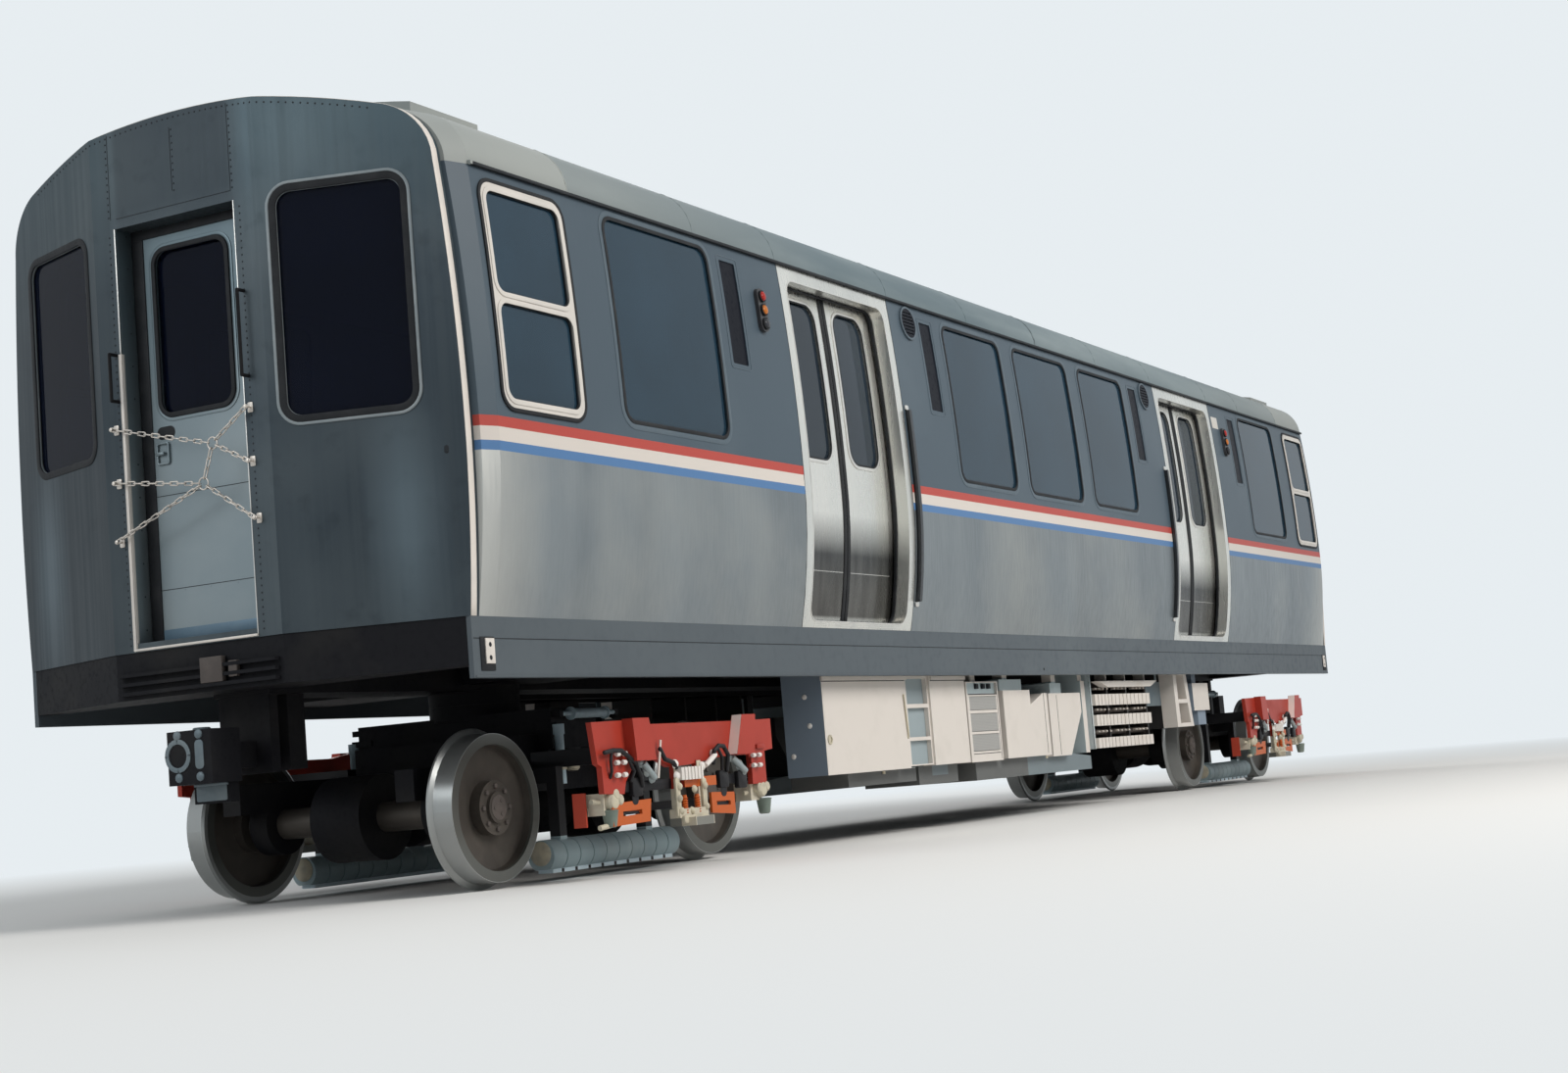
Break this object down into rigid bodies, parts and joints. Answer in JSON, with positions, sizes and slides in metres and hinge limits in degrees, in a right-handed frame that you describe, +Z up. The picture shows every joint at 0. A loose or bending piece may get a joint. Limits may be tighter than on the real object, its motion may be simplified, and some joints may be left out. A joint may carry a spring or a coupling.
{
  "type": "rapid transit metro car",
  "caption": "Metro car with folded end plates, curved sides, pocket sliding doors and inside-framed trucks.",
  "frame": {"origin": "under the middle of the car, level with the wheel flange tips", "axes": "+X to the front end, +Y to the left side, +Z up"},
  "size_m": [14.63, 2.89, 3.741],
  "materials": {
    "black_steel": "matt",
    "brake_steel": "matt",
    "dark_panel": "gloss",
    "door_steel": "bright",
    "floor_rubber": "matt",
    "frame_steel": "bright",
    "glass": "tinted",
    "lamp_housing": "gloss",
    "lining": "matt",
    "mask_steel": "brushed",
    "red_paint": "gloss",
    "resistor": "matt",
    "roof_paint": "weathered",
    "seat_shell": "matt",
    "side_steel": "brushed",
    "sill_paint": "satin",
    "wheel_steel": "worn",
    "white_frame": "gloss",
    "white_paint": "satin"
  },
  "bodies": {
    "carbody": {"cab_partitions": "lining", "cab_window_frames": "white_frame", "ceiling": "lining", "corner_panels": "side_steel", "couplers": "black_steel", "door_frames": "frame_steel", "end_glass": "glass", "equipment_boxes": "white_paint", "floor": "floor_rubber", "grab_rods": "black_steel", "mask_front": "mask_steel", "mask_rear": "mask_steel", "poles": "frame_steel", "resistor_banks": "resistor", "roof": "roof_paint", "roof_covers": "roof_paint", "roof_ends": "roof_paint", "safety_chains": "frame_steel", "seats": "seat_shell", "side_glass": "glass", "side_sills": "sill_paint", "signal_lamps": "lamp_housing", "slot_panels": "dark_panel", "speaker_grilles": "dark_panel", "underframe": "black_steel", "wall_left": "side_steel", "wall_lining": "lining", "wall_right": "side_steel"},
    "door_left_front_backward": {"door_left_front_backward": "door_steel", "door_left_front_backward_glass": "glass"},
    "door_left_front_forward": {"door_left_front_forward": "door_steel", "door_left_front_forward_glass": "glass"},
    "door_left_rear_backward": {"door_left_rear_backward": "door_steel", "door_left_rear_backward_glass": "glass"},
    "door_left_rear_forward": {"door_left_rear_forward": "door_steel", "door_left_rear_forward_glass": "glass"},
    "door_right_front_backward": {"door_right_front_backward": "door_steel", "door_right_front_backward_glass": "glass"},
    "door_right_front_forward": {"door_right_front_forward": "door_steel", "door_right_front_forward_glass": "glass"},
    "door_right_rear_backward": {"door_right_rear_backward": "door_steel", "door_right_rear_backward_glass": "glass"},
    "door_right_rear_forward": {"door_right_rear_forward": "door_steel", "door_right_rear_forward_glass": "glass"},
    "end_door_front": {"end_door_front": "mask_steel", "end_door_front_glass": "glass"},
    "end_door_rear": {"end_door_rear": "mask_steel", "end_door_rear_glass": "glass"},
    "truck_front": {"shoe_beams_front": "red_paint", "track_brakes_front": "brake_steel", "truck_frame_front": "black_steel", "truck_motors_front": "black_steel"},
    "truck_rear": {"shoe_beams_rear": "red_paint", "track_brakes_rear": "brake_steel", "truck_frame_rear": "black_steel", "truck_motors_rear": "black_steel"},
    "wheelset_1": {"wheelset_1": "wheel_steel"},
    "wheelset_2": {"wheelset_2": "wheel_steel"},
    "wheelset_3": {"wheelset_3": "wheel_steel"},
    "wheelset_4": {"wheelset_4": "wheel_steel"}
  },
  "joints": [
    {"name": "truck_front_swing", "type": "hinge", "parent": "carbody", "child": "truck_front", "pos_m": [5.131, 0, 0.92], "axis": [0, 0, 1], "range_deg": [-10, 10]},
    {"name": "truck_rear_swing", "type": "hinge", "parent": "carbody", "child": "truck_rear", "pos_m": [-5.131, 0, 0.92], "axis": [0, 0, 1], "range_deg": [-10, 10]},
    {"name": "wheelset_1_turn", "type": "hinge", "parent": "truck_front", "child": "wheelset_1", "pos_m": [6.1215, 0, 0.3835], "axis": [0, 1, 0], "continuous": true},
    {"name": "wheelset_2_turn", "type": "hinge", "parent": "truck_front", "child": "wheelset_2", "pos_m": [4.1405, 0, 0.3835], "axis": [0, 1, 0], "continuous": true},
    {"name": "wheelset_3_turn", "type": "hinge", "parent": "truck_rear", "child": "wheelset_3", "pos_m": [-4.1405, 0, 0.3835], "axis": [0, 1, 0], "continuous": true},
    {"name": "wheelset_4_turn", "type": "hinge", "parent": "truck_rear", "child": "wheelset_4", "pos_m": [-6.1215, 0, 0.3835], "axis": [0, 1, 0], "continuous": true},
    {"name": "door_left_front_forward_slide", "type": "slide", "parent": "carbody", "child": "door_left_front_forward", "axis": [1, 0, 0], "range_m": [0, 0.66]},
    {"name": "door_left_front_backward_slide", "type": "slide", "parent": "carbody", "child": "door_left_front_backward", "axis": [-1, 0, 0], "range_m": [0, 0.66]},
    {"name": "door_left_rear_forward_slide", "type": "slide", "parent": "carbody", "child": "door_left_rear_forward", "axis": [1, 0, 0], "range_m": [0, 0.66]},
    {"name": "door_left_rear_backward_slide", "type": "slide", "parent": "carbody", "child": "door_left_rear_backward", "axis": [-1, 0, 0], "range_m": [0, 0.66]},
    {"name": "door_right_front_forward_slide", "type": "slide", "parent": "carbody", "child": "door_right_front_forward", "axis": [1, 0, 0], "range_m": [0, 0.66]},
    {"name": "door_right_front_backward_slide", "type": "slide", "parent": "carbody", "child": "door_right_front_backward", "axis": [-1, 0, 0], "range_m": [0, 0.66]},
    {"name": "door_right_rear_forward_slide", "type": "slide", "parent": "carbody", "child": "door_right_rear_forward", "axis": [1, 0, 0], "range_m": [0, 0.66]},
    {"name": "door_right_rear_backward_slide", "type": "slide", "parent": "carbody", "child": "door_right_rear_backward", "axis": [-1, 0, 0], "range_m": [0, 0.66]},
    {"name": "end_door_front_swing", "type": "hinge", "parent": "carbody", "child": "end_door_front", "pos_m": [7.042, 0.398, 2.2], "axis": [0, 0, -1], "range_deg": [0, 90]},
    {"name": "end_door_rear_swing", "type": "hinge", "parent": "carbody", "child": "end_door_rear", "pos_m": [-7.042, -0.398, 2.2], "axis": [0, 0, -1], "range_deg": [0, 90]}
  ]
}
